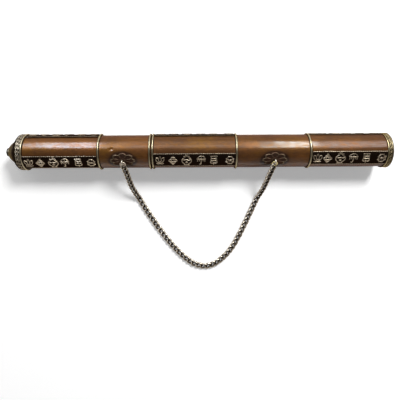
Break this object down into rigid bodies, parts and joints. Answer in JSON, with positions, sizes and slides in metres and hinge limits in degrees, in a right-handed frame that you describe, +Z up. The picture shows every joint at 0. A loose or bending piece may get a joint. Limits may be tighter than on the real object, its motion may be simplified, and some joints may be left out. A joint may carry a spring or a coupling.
{
  "type": "prayer scroll holder",
  "caption": "Slim copper case for a rolled prayer scroll, with brass rings and relief strips, a pull-off lid with a domed end and a carrying chain.",
  "frame": {"origin": "on the table under the middle of the case, which lies on its side; the chain is left out of this middle", "axes": "+X along the case from the domed lid towards the closed base, +Z up, -Y towards the chain lying on the table"},
  "size_m": [0.3762, 0.1405, 0.038],
  "materials": {
    "copper": "aged copper, worn satin",
    "dark_copper": "darkened copper, satin",
    "bright_brass": "antique brass, rubbed bright",
    "aged_brass": "antique brass, dark patina",
    "relief_brass": "blackened brass with rubbed relief",
    "chain_brass": "antique brass chain",
    "ring_gold": "bright brass"
  },
  "bodies": {
    "root": {"body_tube": "copper", "neck_tube": "dark_copper", "body_mouth_ring": "bright_brass", "mid_ring": "bright_brass", "end_section_ring": "bright_brass", "base_band": "bright_brass", "base_disc": "aged_brass", "mid_strip_1": "relief_brass", "mid_strip_2": "relief_brass", "mid_strip_3": "relief_brass", "end_strip_1": "relief_brass", "end_strip_2": "relief_brass", "end_strip_3": "relief_brass", "body_rosette": "aged_brass", "body_staple": "chain_brass"},
    "lid": {"lid_tube": "copper", "lid_cap_band": "aged_brass", "lid_end_ring": "bright_brass", "lid_dome": "aged_brass", "lid_finial": "aged_brass", "lid_section_ring": "bright_brass", "lid_mouth_ring": "bright_brass", "lid_strip_1": "relief_brass", "lid_strip_2": "relief_brass", "lid_strip_3": "relief_brass", "lid_rosette": "aged_brass", "lid_staple": "chain_brass"},
    "lid_ring": {"lid_jump_ring": "ring_gold"},
    "chain_01": {"chain_run_01": "chain_brass"},
    "chain_02": {"chain_run_02": "chain_brass"},
    "chain_03": {"chain_run_03": "chain_brass"},
    "chain_04": {"chain_run_04": "chain_brass"},
    "chain_05": {"chain_run_05": "chain_brass"},
    "chain_06": {"chain_run_06": "chain_brass"},
    "chain_07": {"chain_run_07": "chain_brass"},
    "chain_08": {"chain_run_08": "chain_brass"},
    "chain_09": {"chain_run_09": "chain_brass"},
    "chain_10": {"chain_run_10": "chain_brass"},
    "chain_11": {"chain_run_11": "chain_brass"},
    "body_ring": {"body_jump_ring": "ring_gold"}
  },
  "joints": [
    {"name": "lid_slide", "type": "slide", "parent": "root", "child": "lid", "axis": [-1, 0, 0], "range_m": [0, 0.03]},
    {"name": "chain_swing", "type": "hinge", "parent": "lid", "child": "lid_ring", "pos_m": [-0.07095, -0.0104, 0.03555], "axis": [-1, 0, 0], "range_deg": [0, 150]},
    {"name": "chain_turn_01", "type": "hinge", "parent": "lid_ring", "child": "chain_01", "pos_m": [-0.0702, -0.01355, 0.03263], "axis": [0, 0, 1], "range_deg": [0, 8.2]},
    {"name": "chain_turn_02", "type": "hinge", "parent": "chain_01", "child": "chain_02", "pos_m": [-0.06702, -0.02805, 0.02008], "axis": [0, 0, 1], "range_deg": [0, 3.1]},
    {"name": "chain_turn_03", "type": "hinge", "parent": "chain_02", "child": "chain_03", "pos_m": [-0.05958, -0.04888, 0.00125], "axis": [0, 0, 1], "range_deg": [-2, 0]},
    {"name": "chain_turn_04", "type": "hinge", "parent": "chain_03", "child": "chain_04", "pos_m": [-0.0439, -0.07345, 0.00125], "axis": [0, 0, 1], "range_deg": [-1.1, 0]},
    {"name": "chain_turn_05", "type": "hinge", "parent": "chain_04", "child": "chain_05", "pos_m": [-0.02625, -0.09665, 0.00125], "axis": [0, 0, 1], "range_deg": [-3.2, 0]},
    {"name": "chain_turn_06", "type": "hinge", "parent": "chain_05", "child": "chain_06", "pos_m": [-0.00471, -0.11615, 0.00125], "axis": [0, 0, 1], "range_deg": [-5.2, 0]},
    {"name": "chain_turn_07", "type": "hinge", "parent": "chain_06", "child": "chain_07", "pos_m": [0.01407, -0.11884, 0.00125], "axis": [0, 0, 1], "range_deg": [-5.6, 0]},
    {"name": "chain_turn_08", "type": "hinge", "parent": "chain_07", "child": "chain_08", "pos_m": [0.03624, -0.10059, 0.00125], "axis": [0, 0, 1], "range_deg": [-3.9, 0]},
    {"name": "chain_turn_09", "type": "hinge", "parent": "chain_08", "child": "chain_09", "pos_m": [0.05038, -0.07511, 0.00125], "axis": [0, 0, 1], "range_deg": [-1.5, 0]},
    {"name": "chain_turn_10", "type": "hinge", "parent": "chain_09", "child": "chain_10", "pos_m": [0.06295, -0.04881, 0.00125], "axis": [0, 0, 1], "range_deg": [0, 1.2]},
    {"name": "chain_turn_11", "type": "hinge", "parent": "chain_10", "child": "chain_11", "pos_m": [0.07025, -0.02783, 0.02008], "axis": [0, 0, 1], "range_deg": [0, 2.7]},
    {"name": "body_ring_swing", "type": "hinge", "parent": "root", "child": "body_ring", "pos_m": [0.07505, -0.0104, 0.03555], "axis": [-1, 0, 0], "range_deg": [0, 150]}
  ],
  "couplings": [
    {"joint": "chain_turn_01", "follows": "lid_slide", "rad_per_m": 4.674},
    {"joint": "chain_turn_02", "follows": "lid_slide", "rad_per_m": 1.7},
    {"joint": "chain_turn_03", "follows": "lid_slide", "rad_per_m": -1.099},
    {"joint": "chain_turn_04", "follows": "lid_slide", "rad_per_m": -0.579},
    {"joint": "chain_turn_05", "follows": "lid_slide", "rad_per_m": -1.8},
    {"joint": "chain_turn_06", "follows": "lid_slide", "rad_per_m": -2.962},
    {"joint": "chain_turn_07", "follows": "lid_slide", "rad_per_m": -3.183},
    {"joint": "chain_turn_08", "follows": "lid_slide", "rad_per_m": -2.203},
    {"joint": "chain_turn_09", "follows": "lid_slide", "rad_per_m": -0.778},
    {"joint": "chain_turn_10", "follows": "lid_slide", "rad_per_m": 0.584},
    {"joint": "chain_turn_11", "follows": "lid_slide", "rad_per_m": 1.498},
    {"joint": "body_ring_swing", "follows": "chain_swing", "ratio": 1}
  ]
}
